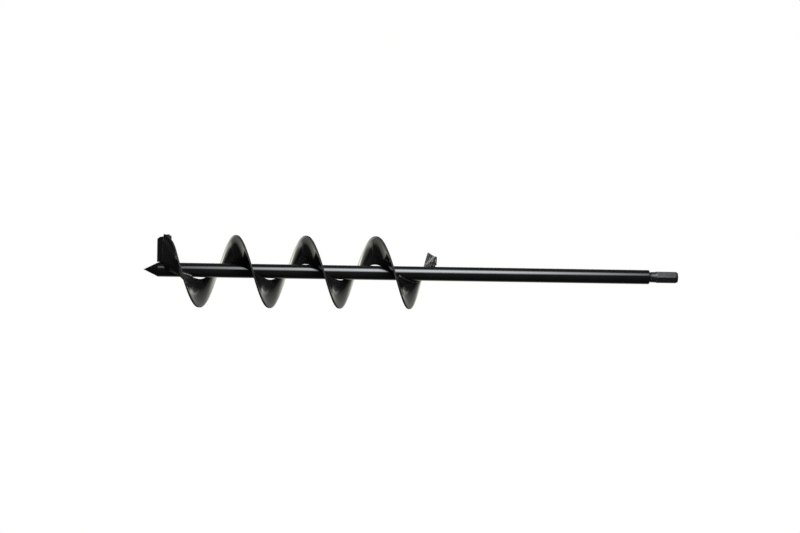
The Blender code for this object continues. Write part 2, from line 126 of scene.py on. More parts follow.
# Helical flight
FLIGHT_RADIUS = 0.0407
BORE_RADIUS = 0.0088
CLEAR_RADIUS = 0.00832
FLIGHT_THICKNESS = 0.0020
FLIGHT_EDGE_RADIUS = 0.00040
FLIGHT_EDGE_SHARE = 0.95
FLIGHT_STATION = 0.0236
FLIGHT_PITCH = 0.0781
FLIGHT_START_ANGLE = 8.0
SEAM_ANGLES = (352.0, 712.0, 1072.0)
SEAM_WIDTH = 0.0030
SEAM_OVERLAP = 0.0004
SEAM_CROWN = 0.00012
SEAM_CROWN_DROP = 0.3
SEAM_SINK = 0.1
SEAM_RIPPLE = 0.00004
SEAM_RIPPLE_LENGTH = 0.0012
SEAM_COLUMNS = 10
TAIL_PITCH_ANGLE = 1250.0
TAIL_STATION_LOSS = 0.0083
TAIL_LOSS_POWER = 2.5
TAIL_CUT_ANGLE = 1382.0
TAIL_END_ANGLE = 1434.0
TAIL_CHORD_DISTANCE = 0.0185
TAIL_CHORD_ANGLE = 1447.0
RUNOUT_SLOPE = math.tan(math.radians(0.44))
RUNOUT_STATION = 0.209
RUNOUT_LIMIT = 0.0009
LEAD_STATION = 0.0197
LEAD_SLOPE = 0.50
LEAD_FLAT_REACH = 0.0200
LEAD_FLAT_ANGLE = 62.0
LEAD_RIM_BLEND_ANGLE = 34.0
LEAD_ROOT_BLEND_ANGLE = 50.0
LEAD_BLEND_POWER = 2.0
FLIGHT_STEP_ANGLE = 2.5
FLIGHT_RADIAL_STEPS = 9
EDGE_ARC_STEPS = 3

# A free end of the flight narrows over these shares of the edge radius, to these shares of the thickness
END_ROUNDING = ((0.0, 0.55), (0.18, 0.80), (0.45, 0.94), (0.9, 1.0))

# Marks on the flight's paint: a scuffed tail with one painted highlight streak (a reflection painted in as
# pale paint), and dull soot by the first root weld
TAIL_SCUFF_ANGLES = (1352.0, 1364.0)
# Painted highlight streak: a pale band painted on the tail around a plane, standing in for a reflection
HIGHLIGHT_STREAK_NORMAL = (-0.730, 0.683, 0.0)
HIGHLIGHT_STREAK_DISTANCE = 0.2141
HIGHLIGHT_STREAK_HALF_WIDTH = 0.0014
SOOT_RADII = (0.0260, 0.0400)
SOOT_ANGLES = (104.0, 150.0)

# Cutting blade, lying on the shank side of the flight's flat part
BLADE_THICKNESS = 0.0030
BLADE_CHORD = 0.0336
BLADE_LEADING_STATION = 0.0134
BLADE_INNER_HEIGHT = 0.0085
BLADE_OUTER_HEIGHT = 0.0362
BLADE_OUTER_RISE = 0.0014
BLADE_CORNER_CHORD = 0.0085
BLADE_CORNER_DROP = 0.0021
EDGE_BEVEL_FRONT = (0.0030, 0.0006)
EDGE_BEVEL_BACK = (0.0068, 0.0018)
BLADE_EDGE_RADIUS = 0.00030
BLADE_EDGE_SHARE = 0.4
BLADE_ROOT_WEAR = 0.5
BLADE_FRONT_ROUNDING = ((0.0, 0.3), (0.3, 0.1))
BLADE_REAR_ROUNDING = ((1.0, 0.0), (0.3, 0.3), (0.0, 1.0))
BLADE_GAP = 0.0003
BLADE_CHORD_STEPS = 48
BLADE_HEIGHT_STEPS = 14
BLADE_SHARP_ANGLE = 9.0

LEAD_TILT = math.atan(LEAD_SLOPE)
CHORD_AXIS = Vector((math.sin(LEAD_TILT), 0.0, math.cos(LEAD_TILT)))
SHANK_NORMAL = Vector((math.cos(LEAD_TILT), 0.0, -math.sin(LEAD_TILT)))
RADIAL_AXIS = Vector((0.0, 1.0, 0.0))

# Weld beads
BEAD_STEP = 0.00028
BEAD_ROUND_STEPS = 20
RIPPLE_LENGTH = 0.0014
RIPPLE_DEPTH = 0.16
RIPPLE_CURVE = 0.45
BEAD_WANDER = 0.10
BEAD_WANDER_SCALE = 420.0
BEAD_END_LENGTH = 0.0016
BEAD_END_SHARE = 0.06
BEAD_SHARP_ANGLE = 60.0
ROOT_WELD_ANGLES = {
    "flight_start_weld": (78.0, 148.0),
    "flight_root_weld_1": (322.0, 380.0),
    "flight_root_weld_2": (590.0, 640.0),
    "flight_root_weld_3": (962.0, 1020.0),
    "flight_last_turn_weld": (1194.0, 1296.0),
}
ROOT_BEAD_RADIUS = 0.0020
ROOT_BEAD_LIFT = 0.0014
START_BEAD_RADIUS = 0.0025
START_BEAD_LIFT = 0.0005
ROOT_BEAD_HEIGHT = 0.0090
ROOT_BEAD_FLATNESS = 0.95
ROOT_BEAD_SEED = 11
TAIL_WELD_ANGLES = (1397.0, 1429.0)
TAIL_BEAD_SEED = 31

# Blade welds: places along the chord, outward from the shaft's centre line, and through the thickness
EDGE_WELD_HEIGHTS = (0.0125, 0.0365)
EDGE_WELD_CHORD_SHIFT = -0.0006
EDGE_WELD_DEPTH = -0.0007
EDGE_BEAD_RADIUS = 0.0012
RIM_WELD_CHORDS = (0.0220, 0.0328)
RIM_WELD_DEPTH = 0.0008
RIM_WELD_LIFT = 0.0011
TRAILING_WELD_HEIGHTS = (0.0130, 0.0345)
TRAILING_WELD_DEPTH = 0.0004
TRAILING_WELD_CHORD_SHIFT = 0.0003
TRAILING_BEAD_RADIUS = 0.0016
FRONT_ROOT_WELD_CHORDS = (0.0108, 0.0164)
BACK_ROOT_WELD_CHORDS = (0.0190, 0.0290)
BLADE_ROOT_WELD_LIFT = 0.0001
BLADE_ROOT_WELD_OFFSET = 0.0003
BLADE_BEAD_RADIUS = 0.0019
BLADE_ROOT_FLATNESS = 0.9
BLADE_BEAD_SEED = 41

# Paints: dark and pale tone, lowest and highest roughness, orange peel depth, chip threshold, chip tone
PAINTS = {
    "tube_enamel": (0.0045, 0.0075, (0.08, 0.13), 0.000002, 0.68, 0.08),
    "flight_enamel": (0.005, 0.010, (0.06, 0.11), 0.000004, 0.67, 0.08),
    "blade_enamel": (0.0055, 0.010, (0.14, 0.22), 0.000007, 0.64, 0.10),
    "weld_enamel": (0.006, 0.012, (0.22, 0.36), 0.000012, 0.68, 0.08),
}

# Patterns of the paint and the steel. A scale counts the pattern's cells in a metre, a stretch multiplies it
# along X, Y and Z, and a range maps the pattern's values from the first two numbers to the last two.
HAZE_SCALE = 26.0
HAZE_RANGE = (0.35, 0.70, 0.0, 1.0)
DUST_SCALE = 1500.0
DUST_RANGE = (0.74, 0.80, 0.0, 0.55)
PAINT_CHIP_SCALE = 330.0
STEEL_CHIP_SCALE = 700.0
STEEL_CHIP_START = 0.50
CHIP_SOFTNESS = 0.05
STREAK_SCALE = 330.0
STREAK_STRETCH = (1.0, 0.45, 1.0)
STREAK_RANGE = (0.50, 0.62, 0.0, 0.7)
# Painted highlight streak: the range that breaks it up along its length, and its fully pale core's share of
# the half width
HIGHLIGHT_STREAK_RANGE = (0.38, 0.56, 0.25, 1.0)
HIGHLIGHT_STREAK_CORE_SHARE = 0.3
FINE_SCALE = 190.0
FINE_RANGE = (0.30, 0.72)
HAIRLINE_SCALE = 3.0
HAIRLINE_STRETCH = (900.0, 60.0, 60.0)
HAIRLINE_RANGE = (0.66, 0.72, 0.0, 0.10)
PEEL_SCALE = 520.0
GRAIN_SCALE = 3200.0
GRAIN_SHARE = 0.10
PATCH_SCALE = 160.0
PATCH_COLOUR_RANGE = (0.3, 0.7, 0.0, 1.0)
PATCH_ROUGHNESS_RANGE = (0.3, 0.7, 0.24, 0.36)
TURNING_STRETCH = (5200.0, 120.0, 120.0)
TURNING_COLOUR_RANGE = (0.55, 0.75, 0.0, 0.35)
TURNING_ROUGHNESS_RANGE = (0.4, 0.7, 0.0, 0.06)
BARE_METAL_SHARE = 0.8
DUST_COLOUR = (0.07, 0.068, 0.064, 1.0)
# Pale grey of the scuffs, also used for the painted highlight streak
SCUFF_AND_HIGHLIGHT_COLOUR = (0.50, 0.49, 0.47, 1.0)
STEEL_DARK = (0.010, 0.010, 0.011, 1.0)
STEEL_PALE = (0.018, 0.018, 0.018, 1.0)
STEEL_LINE_COLOUR = (0.045, 0.044, 0.043, 1.0)
STEEL_CHIP_COLOUR = (0.12, 0.12, 0.117, 1.0)
CHIP_DEPTH = 0.00004
TURNING_DEPTH = 0.000012
CHIP_ROUGHNESS = 0.28
SCUFF_ROUGHNESS = 0.62
EDGE_ROUGHNESS = 0.70
SOOT_ROUGHNESS = 0.65
ENAMEL_IOR = 1.50

# Studio
CAMERA_DISTANCE = 2.5
CAMERA_LENS = 100.64
CAMERA_ROLL = 0.907
CAMERA_YAW = 3.888
CAMERA_STATION = 0.1158
CAMERA_HEIGHT = 0.0076
FLOOR_DROP = 1.20
FLOOR_HALF = 2.5
FLOOR_GLOW = 1.0
FLOOR_COLOUR = (1.0, 1.0, 0.995, 1.0)
FLOOR_POOL_TINT = (2.5, 2.5, 2.25, 1.0)
FLOOR_GLOW_ALONG = ((-1.36, 0.03), (-1.20, 0.38), (-0.95, 0.50), (-0.45, 1.0), (0.35, 1.0))
FLOOR_GLOW_ALONG += ((0.70, 0.46), (0.95, 0.36), (1.40, 0.27), (1.90, 0.12), (2.40, 0.03))
FLOOR_GLOW_ACROSS = ((-2.40, 0.08), (-0.60, 0.32), (-0.30, 0.40), (0.13, 0.40), (0.17, 1.0), (0.21, 1.0))
FLOOR_GLOW_ACROSS += ((0.25, 0.34), (0.55, 0.08), (2.40, 0.04))
SOFTBOX_DISTANCE = 0.80
SOFTBOX_ELEVATION = 43.0
SOFTBOX_SHIFT = 0.07
SOFTBOX_SIZE = (1.10, 1.22)
SOFTBOX_GLOW = 14.5
SOFTBOX_COLOUR = (0.93, 0.975, 1.0, 1.0)
ROOM_GLOW = 0.045


# ---------------------------------------------------------------- meshes


def station_x(station):
    return station - TOTAL_LENGTH


def store_shares(mesh, name, rings_of_shares):
    """Give every point its share from 0 to 1, which the materials read by name."""
    attribute = mesh.attributes.new(name, "FLOAT", "POINT")
    if rings_of_shares is not None:
        attribute.data.foreach_set("value", [share for shares in rings_of_shares for share in shares])


def loft(name, rings, edges=None, sharp_angle=38.0, scuffs=None, soots=None):
    """Closed skin through rings of equal length, with its two ends filled."""
    shape = bmesh.new()
    loops = [[shape.verts.new(point) for point in ring] for ring in rings]
    count = len(loops[0])
    for ring, following in zip(loops, loops[1:]):
        for index in range(count):
            beside = (index + 1) % count
            shape.faces.new((ring[index], ring[beside], following[beside], following[index]))
    shape.faces.new(loops[0][::-1])
    shape.faces.new(loops[-1])
    bmesh.ops.recalc_face_normals(shape, faces=shape.faces)
    mesh = bpy.data.meshes.new(name)
    shape.to_mesh(mesh)
    shape.free()
    mesh.shade_smooth()
    mesh.set_sharp_from_angle(angle=math.radians(sharp_angle))
    store_shares(mesh, "edge", edges)
    store_shares(mesh, "scuff", scuffs)
    store_shares(mesh, "soot", soots)
    piece = bpy.data.objects.new(name, mesh)
    bpy.context.scene.collection.objects.link(piece)
    return piece


def stand_for(piece, material, slot, *nodes):
    """Finish a piece that is shown in place of CAD nodes."""
    piece.data.materials.append(material)
    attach(piece, "root")
    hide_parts(*nodes)


def arc(centre, radius, start, end, steps):
    """Points of an arc in a plane, both ends included."""
    angles = [math.radians(start + (end - start) * step / steps) for step in range(steps + 1)]
    return [(centre[0] + radius * math.cos(a), centre[1] + radius * math.sin(a)) for a in angles]


def turned_rings(profile, steps):
    """Rings of a turned shape, from (station, radius) points."""
    rings = []
    for station, radius in profile:
        turns = [math.tau * step / steps for step in range(steps)]
        rings.append([(station_x(station), radius * math.cos(t), radius * math.sin(t)) for t in turns])
    return rings


# ---------------------------------------------------------------- shaft line


def make_tip(material):
    """Cone tip with a slightly blunt apex and a soft shoulder where it meets the tube."""
    cone_slope = SHAFT_RADIUS / TUBE_START
    lean = math.degrees(math.atan(cone_slope))
    relief = TIP_APEX_RADIUS * math.sin(math.radians(lean)) * TIP_CONE_RELIEF
    profile = arc((TIP_APEX_RADIUS, 0.0), TIP_APEX_RADIUS, TIP_APEX_START, 90.0 + lean, TIP_APEX_STEPS)
    apex_end, apex_radius = profile[-1]
    cone_end = TUBE_START - TIP_SHOULDER_RADIUS * TIP_SHOULDER_REACH
    for row in range(1, TIP_CONE_ROWS + 1):
        station = apex_end + (cone_end - apex_end) * row / TIP_CONE_ROWS
        profile.append((station, max(apex_radius, station * cone_slope - relief)))
    for along, drop in TIP_SHOULDER_STEPS:
        station = TUBE_START + TIP_SHOULDER_RADIUS * along
        profile.append((station, SHAFT_RADIUS - TIP_SHOULDER_RADIUS * drop))
    edges = [[1.0 if index <= TIP_APEX_STEPS else 0.0] * SHAFT_STEPS for index in range(len(profile))]
    tip = loft("cone_tip", turned_rings(profile, SHAFT_STEPS), edges)
    stand_for(tip, material, "enamel", "tip_point")


def make_tube(material):
    """Painted shaft tube, from the cone's shoulder to the weld ring at the drive end."""
    start = TUBE_START + TIP_SHOULDER_RADIUS * TUBE_START_SHIFT
    length = TUBE_END - start
    profile = [(start + length * row / TUBE_ROWS, SHAFT_RADIUS) for row in range(TUBE_ROWS + 1)]
    tube = loft("shaft_tube_skin", turned_rings(profile, SHAFT_STEPS))
    stand_for(tube, material, "enamel", "shaft_tube")


def make_ring_weld(material):
    """Weld ring round the tube's end, with the slight ripple of a turned pass."""
    centre = (TUBE_END, SHAFT_RADIUS - RING_ROUND_RADIUS)
    profile = [(TUBE_END - RING_OVERLAP, SHAFT_RADIUS - RING_RELIEF)]
    profile += arc(centre, RING_ROUND_RADIUS, 90.0, RING_ROUND_END, RING_ROUND_STEPS)
    profile.append((RING_END, NECK_RADIUS - RING_RELIEF))
    rings = []
    for index, (station, radius) in enumerate(profile):
        share = math.sin(math.pi * index / (len(profile) - 1))
        ring = []
        for step in range(SHAFT_STEPS):
            turn = math.tau * step / SHAFT_STEPS
            low = radius - RING_WAVE_DEPTH * share * abs(math.sin(RING_WAVES * turn / 2))
            ring.append((station_x(station), low * math.cos(turn), low * math.sin(turn)))
        rings.append(ring)
    ring_weld = loft("drive_end_weld_ring", rings)
    stand_for(ring_weld, material, "weld", "shank_weld_ring")


def hex_radius(turn):
    """Radius of the hexagon in a direction, with its corners broken. Its flats face +Y and -Y."""
    sixth = math.pi / 3
    off_flat = (turn + sixth / 2) % sixth - sixth / 2
    corner = HEX_APOTHEM / math.cos(sixth / 2) - HEX_CORNER_BREAK
    return min(HEX_APOTHEM / math.cos(off_flat), corner)


def shank_rows():
    """(station, largest radius, edge share) rows of the shank: groove, neck, hexagon and end chamfer."""
    hex_start = TOTAL_LENGTH - HEX_LENGTH
    groove_start = RING_END - GROOVE_OVERLAP
    groove_end = groove_start + GROOVE_WIDTH
    clear = HEX_APOTHEM * HEX_CLEAR_SHARE
    rows = [
        (groove_start, GROOVE_RADIUS, 0.0),
        (groove_end - GROOVE_WALL, GROOVE_RADIUS, 0.0),
        (groove_end, NECK_RADIUS - NECK_EDGE_DROP, 1.0),
        (groove_end + NECK_EDGE_LENGTH, NECK_RADIUS, 0.0),
    ]
    for share, rise in NECK_FILLET_RISES:
        rows.append((hex_start - NECK_FILLET * share, NECK_RADIUS + rise, 0.0))
    rows.append((hex_start + HEX_SHOULDER_LENGTH, clear, 1.0))
    body_start = hex_start + HEX_SHOULDER_LENGTH + HEX_SHOULDER_FLAT
    chamfer_start = TOTAL_LENGTH - (HEX_APOTHEM * HEX_CHAMFER_SHARE - HEX_END_RADIUS) / HEX_CHAMFER_SLOPE
    for row in range(HEX_BODY_ROWS + 1):
        station = body_start + (chamfer_start - body_start) * row / HEX_BODY_ROWS
        rows.append((station, clear, 0.0))
    end = TOTAL_LENGTH - HEX_END_BREAK
    for row in range(1, HEX_CHAMFER_ROWS + 1):
        station = chamfer_start + (end - chamfer_start) * row / HEX_CHAMFER_ROWS
        rows.append((station, HEX_END_RADIUS + (TOTAL_LENGTH - station) * HEX_CHAMFER_SLOPE, 0.0))
    rows.append((TOTAL_LENGTH, HEX_END_RADIUS - HEX_END_DROP, 1.0))
    return rows


def make_shank(material):
    """Turned neck and groove, then the hexagon with its end turned to a cone."""
    rings = []
    edges = []
    corner_angle = math.radians(HEX_CORNER_ANGLE)
    for station, limit, edge in shank_rows():
        ring = []
        shares = []
        for step in range(HEX_STEPS):
            turn = math.tau * step / HEX_STEPS
            radius = min(hex_radius(turn), limit)
            ring.append((station_x(station), radius * math.cos(turn), radius * math.sin(turn)))
            off_corner = abs(turn % (math.pi / 3) - math.pi / 6)
            on_corner = off_corner < corner_angle and limit > HEX_APOTHEM * HEX_CORNER_SHARE
            shares.append(max(edge, 1.0 if on_corner else 0.0))
        rings.append(ring)
        edges.append(shares)
    shank = loft("drive_shank", rings, edges, sharp_angle=HEX_SHARP_ANGLE)
    stand_for(shank, material, "shank", "hex_shank")


# ---------------------------------------------------------------- flight


def axis_lean(station):
    """Offset in Y of the flight's own axis, which leans slightly against the shaft's."""
    return max(-RUNOUT_LIMIT, (station - RUNOUT_STATION) * RUNOUT_SLOPE)


def runout(station, radius):
    """Shift of the flight in Y, which grows from nothing at the shaft to the full lean at the rim."""
    outward = (radius - CLEAR_RADIUS) / (FLIGHT_RADIUS - CLEAR_RADIUS)
    return axis_lean(station) * max(0.0, outward)


def helix_station(angle):
    """Station of the plain helix, whose pitch drops towards the tail."""
    station = FLIGHT_STATION + FLIGHT_PITCH * angle / 360.0
    past_tail = max(0.0, angle - TAIL_PITCH_ANGLE) / (TAIL_END_ANGLE - TAIL_PITCH_ANGLE)
    return station - TAIL_STATION_LOSS * past_tail ** TAIL_LOSS_POWER


def smooth_step(value, start, end):
    """0 before start and 1 after end, with a smooth rise between them."""
    share = min(1.0, max(0.0, (value - start) / (end - start)))
    return share * share * (3.0 - 2.0 * share)


def lead_share(angle, radius):
    """1 where the flight is pressed flat, falling smoothly to 0 on the plain helix, sooner at the rim."""
    sine = min(math.sin(math.radians(LEAD_FLAT_ANGLE)), LEAD_FLAT_REACH / radius)
    flat_angle = math.degrees(math.asin(sine))
    inward = (FLIGHT_RADIUS - radius) / (FLIGHT_RADIUS - SHAFT_RADIUS)
    blend = LEAD_RIM_BLEND_ANGLE + (LEAD_ROOT_BLEND_ANGLE - LEAD_RIM_BLEND_ANGLE) * inward
    past_flat = max(0.0, angle - flat_angle) / max(blend, LEAD_RIM_BLEND_ANGLE)
    return math.exp(-(past_flat ** LEAD_BLEND_POWER))


def flight_point(angle, radius):
    """Point of the flight's middle surface."""
    turn = math.radians(angle)
    share = lead_share(angle, radius)
    flat = LEAD_STATION + LEAD_SLOPE * radius * math.sin(turn)
    station = share * flat + (1.0 - share) * helix_station(angle)
    y = radius * math.cos(turn) + runout(station, radius)
    return Vector((station_x(station), y, radius * math.sin(turn)))


def flight_normal(angle, radius):
    """Unit normal of the middle surface, towards the shank."""
    small_angle = 0.5
    small_radius = 0.0002
    along = flight_point(angle + small_angle, radius) - flight_point(angle - small_angle, radius)
    outward = flight_point(angle, radius + small_radius) - flight_point(angle, radius - small_radius)
    return outward.cross(along).normalized()


def sheet_point(angle, radius, offset):
    return flight_point(angle, radius) + flight_normal(angle, radius) * offset


def inner_radius(angle):
    """Distance of the inner edge from the shaft: a round bore on the leaning axis, kept clear of the tube."""
    lean = axis_lean(helix_station(angle))
    return max(CLEAR_RADIUS, BORE_RADIUS + lean * math.cos(math.radians(angle)))


def outer_radius(angle):
    """The rim's radius, cut to a straight chord at the tail."""
    if angle <= TAIL_CUT_ANGLE:
        return FLIGHT_RADIUS
    chord = TAIL_CHORD_DISTANCE / math.cos(math.radians(angle - TAIL_CHORD_ANGLE))
    return min(FLIGHT_RADIUS, chord)


def edge_angle(half_width, radius):
    """Angle that a straight strip's half width covers at a radius."""
    return math.degrees(math.asin(half_width / radius))


def sheet_section(inner, outer, half):
    """(radius, offset, edge share) points round the sheet's cross-section, its corners rounded."""
    corner = min(FLIGHT_EDGE_RADIUS, half * FLIGHT_EDGE_SHARE)
    low = inner + corner
    high = outer - corner
    points = []
    for step in range(FLIGHT_RADIAL_STEPS + 1):
        share = step / FLIGHT_RADIAL_STEPS
        points.append((low + (high - low) * share, -half, 0.0))
    outside = arc((high, corner - half), corner, -90.0, 0.0, EDGE_ARC_STEPS)[1:]
    outside += arc((high, half - corner), corner, 0.0, 90.0, EDGE_ARC_STEPS)[:-1]
    points += [(radius, offset, 1.0) for radius, offset in outside]
    for step in range(FLIGHT_RADIAL_STEPS + 1):
        share = step / FLIGHT_RADIAL_STEPS
        points.append((high + (low - high) * share, half, 0.0))
    inside = arc((low, half - corner), corner, 90.0, 180.0, EDGE_ARC_STEPS)[1:]
    inside += arc((low, corner - half), corner, 180.0, 270.0, EDGE_ARC_STEPS)[:-1]
    points += [(radius, offset, 0.0) for radius, offset in inside]
    return points


def flight_angles(start, end):
    count = max(2, round((end - start) / FLIGHT_STEP_ANGLE))
    return [start + (end - start) * step / count for step in range(count + 1)]


def soot_share(angle, radius):
    """Share of dull, sooty paint beside the first root weld, fading outwards and along the flight."""
    near = 1.0 - smooth_step(radius, *SOOT_RADII)
    return near * (1.0 - smooth_step(angle, *SOOT_ANGLES))


def section_stops(angles, round_start, round_end):
    """(angle, shift, thickness share) of each ring of a section. A free end is rounded by extra rings."""
    stops = [(angle, 0.0, 1.0) for angle in angles]
    if round_start:
        ends = [(angles[0], shift, share) for shift, share in END_ROUNDING]
        stops = ends + stops[1:]
    if round_end:
        ends = [(angles[-1], -shift, share) for shift, share in reversed(END_ROUNDING)]
        stops = stops[:-1] + ends
    return stops


def make_flight_section(index, start, end, material, round_start, round_end):
    """One turn of pressed sheet, its free ends and both rims rounded."""
    trim = SEAM_WIDTH / 2
    half = FLIGHT_THICKNESS / 2
    rings = []
    edges = []
    scuffs = []
    soots = []
    for angle, shift, share in section_stops(flight_angles(start, end), round_start, round_end):
        progress = (angle - start) / (end - start)
        ring = []
        shares = []
        for radius, offset, edge in sheet_section(inner_radius(angle), outer_radius(angle), half * share):
            from_start = 0.0 if round_start else edge_angle(trim, radius) * (1.0 - progress)
            from_end = 0.0 if round_end else edge_angle(trim, radius) * progress
            nudge = math.degrees(shift * FLIGHT_EDGE_RADIUS / radius)
            ring.append(sheet_point(angle + from_start - from_end + nudge, radius, offset))
            shares.append(max(edge, 1.0 if share < 1.0 else 0.0))
        rings.append(ring)
        edges.append(shares)
        scuffs.append([smooth_step(angle, *TAIL_SCUFF_ANGLES)] * len(ring))
        soots.append([soot_share(angle, math.hypot(point.y, point.z)) for point in ring])
    section = loft(f"flight_turn_{index}", rings, edges, scuffs=scuffs, soots=soots)
    stand_for(section, material, "enamel", f"flight_section_{index}")


def make_flight(material):
    starts = (FLIGHT_START_ANGLE, *SEAM_ANGLES)
    ends = (*SEAM_ANGLES, TAIL_END_ANGLE)
    last = len(starts) - 1
    for index, (start, end) in enumerate(zip(starts, ends)):
        make_flight_section(index + 1, start, end, material, index == 0, index == last)


def make_seam_weld(index, seam, material):
    """Radial butt weld, dressed almost flush, with a low crown and faint ripples on both faces."""
    reach = SEAM_WIDTH / 2 + SEAM_OVERLAP
    section = sheet_section(inner_radius(seam), outer_radius(seam), FLIGHT_THICKNESS / 2)
    rings = []
    for column in range(SEAM_COLUMNS + 1):
        across = column / SEAM_COLUMNS * 2.0 - 1.0
        ring = []
        for radius, offset, _ in section:
            crown = SEAM_CROWN * (1.0 - across ** 2) - SEAM_CROWN * SEAM_CROWN_DROP
            ripple = SEAM_RIPPLE * math.sin(math.tau * radius / SEAM_RIPPLE_LENGTH) * (1.0 - across ** 2)
            proud = math.copysign(max(0.0, crown + ripple) - SEAM_CROWN * SEAM_SINK, offset)
            angle = seam + edge_angle(reach, radius) * across
            ring.append(sheet_point(angle, radius, offset + proud))
        rings.append(ring)
    weld = loft(f"seam_weld_{index}", rings)
    stand_for(weld, material, "weld", f"section_seam_weld_{index}")


# ---------------------------------------------------------------- blade


def blade_origin():
    """Where the blade's tip-side face would meet its leading edge if it were not ground."""
    face_station = LEAD_STATION + (FLIGHT_THICKNESS / 2 + BLADE_GAP) / math.cos(LEAD_TILT)
    z = (BLADE_LEADING_STATION - face_station) / LEAD_SLOPE
    return Vector((station_x(BLADE_LEADING_STATION), 0.0, z))


def blade_point(chord, depth, height):
    return blade_origin() + CHORD_AXIS * chord + SHANK_NORMAL * depth + RADIAL_AXIS * height


def blade_faces(chord):
    """Depths of the blade's tip-side and shank-side faces, ground towards the leading edge."""
    front_length, front_depth = EDGE_BEVEL_FRONT
    back_length, back_depth = EDGE_BEVEL_BACK
    front = front_depth * max(0.0, 1.0 - chord / front_length)
    back = BLADE_THICKNESS - back_depth * max(0.0, 1.0 - chord / back_length)
    return front, back


def blade_height(chord):
    """Height of the blade's outer end, which rises gently and loses its leading corner."""
    rise = BLADE_OUTER_RISE / BLADE_CHORD
    corner = BLADE_CORNER_DROP / BLADE_CORNER_CHORD + rise
    uncut = BLADE_OUTER_HEIGHT + rise * chord
    return min(uncut, BLADE_OUTER_HEIGHT - BLADE_CORNER_DROP + corner * chord)


def blade_ring(chord, inset):
    """Points round the blade's section at a chord, and each point's share of edge."""
    front, back = blade_faces(chord)
    front += inset
    back -= inset
    low = BLADE_INNER_HEIGHT + inset
    high = blade_height(chord) - inset
    corner = min(BLADE_EDGE_RADIUS, (back - front) * BLADE_EDGE_SHARE)
    points = []
    for step in range(BLADE_HEIGHT_STEPS + 1):
        share = step / BLADE_HEIGHT_STEPS
        points.append((front, low + corner + (high - low - 2 * corner) * share, 0.0))
    outer = arc((front + corner, high - corner), corner, 180.0, 90.0, EDGE_ARC_STEPS)[1:]
    outer += arc((back - corner, high - corner), corner, 90.0, 0.0, EDGE_ARC_STEPS)[:-1]
    points += [(depth, height, 1.0) for depth, height in outer]
    for step in range(BLADE_HEIGHT_STEPS + 1):
        share = step / BLADE_HEIGHT_STEPS
        points.append((back, high - corner - (high - low - 2 * corner) * share, 0.0))
    inner = arc((back - corner, low + corner), corner, 0.0, -90.0, EDGE_ARC_STEPS)[1:]
    inner += arc((front + corner, low + corner), corner, -90.0, -180.0, EDGE_ARC_STEPS)[:-1]
    points += [(depth, height, BLADE_ROOT_WEAR) for depth, height in inner]
    return points


def make_blade(material):
    """Flat blade, ground on both faces along its leading edge."""
    rounding = BLADE_EDGE_RADIUS
    chords = [(rounding * along, rounding * inset) for along, inset in BLADE_FRONT_ROUNDING]
    for step in range(1, BLADE_CHORD_STEPS):
        chords.append((BLADE_CHORD * step / BLADE_CHORD_STEPS, 0.0))
    for along, inset in BLADE_REAR_ROUNDING:
        chords.append((BLADE_CHORD - rounding * along, rounding * inset))
    rings = []
    edges = []
    for chord, inset in chords:
        ring = blade_ring(chord, inset)
        at_edge = 1.0 if chord < rounding or chord > BLADE_CHORD - rounding / 2 else 0.0
        rings.append([blade_point(chord, depth, height) for depth, height, _ in ring])
        edges.append([max(edge, at_edge) for _, _, edge in ring])
    blade = loft("blade_plate", rings, edges, sharp_angle=BLADE_SHARP_ANGLE)
    stand_for(blade, material, "blade", "cutting_blade")


# ---------------------------------------------------------------- weld beads


def even_path(corners):
    """Points at the bead's own step along the runs between corners."""
    lengths = [(b - a).length for a, b in zip(corners, corners[1:])]
    total = sum(lengths)
    count = max(8, round(total / BEAD_STEP))
    path = []
    for step in range(count + 1):
        left = total * step / count
        for (start, end), length in zip(zip(corners, corners[1:]), lengths):
            if left <= length or end is corners[-1]:
                path.append(start.lerp(end, min(1.0, left / length)))
                break
            left -= length
    return path


def bead_end(distance, total):
    """Share of the full width near a bead's rounded ends."""
    near = min(distance, total - distance) / BEAD_END_LENGTH
    return math.sqrt(max(BEAD_END_SHARE, 1.0 - (1.0 - min(1.0, near)) ** 2))


def make_bead(name, corners, radius, flatness, material, seed):
    """A bead of overlapping weld ripples along a path. flatness squeezes it towards the shaft's axis."""
    draw = random.Random(seed)
    phase = draw.random()
    place = Vector((draw.random(), draw.random(), draw.random())) * 10.0
    path = even_path([Vector(corner) for corner in corners])
    total = sum((b - a).length for a, b in zip(path, path[1:]))
    rings = []
    for index, point in enumerate(path):
        ahead = path[min(index + 1, len(path) - 1)]
        behind = path[max(index - 1, 0)]
        tangent = (ahead - behind).normalized()
        outward = Vector((0.0, point.y, point.z)).normalized()
        side = tangent.cross(outward).normalized()
        outward = side.cross(tangent).normalized()
        distance = total * index / (len(path) - 1)
        ring = []
        for step in range(BEAD_ROUND_STEPS):
            turn = math.tau * step / BEAD_ROUND_STEPS
            lag = RIPPLE_CURVE * radius * math.cos(turn)
            wave = abs(math.sin(math.pi * ((distance + lag) / RIPPLE_LENGTH + phase)))
            swell = 1.0 - RIPPLE_DEPTH + RIPPLE_DEPTH * wave
            swell += BEAD_WANDER * noise.noise(point * BEAD_WANDER_SCALE + place)
            size = radius * swell * bead_end(distance, total)
            ring.append(
                point
                + side * size * math.sin(turn)
                + outward * size * flatness * math.cos(turn)
            )
        rings.append(ring)
    bead = loft(name + "_bead", rings, sharp_angle=BEAD_SHARP_ANGLE)
    stand_for(bead, material, "weld", name)


def root_path(start, end, lift):
    """Path beside the flight's inner edge, lifted off the middle surface towards the shank."""
    return [sheet_point(angle, ROOT_BEAD_HEIGHT, lift) for angle in flight_angles(start, end)]


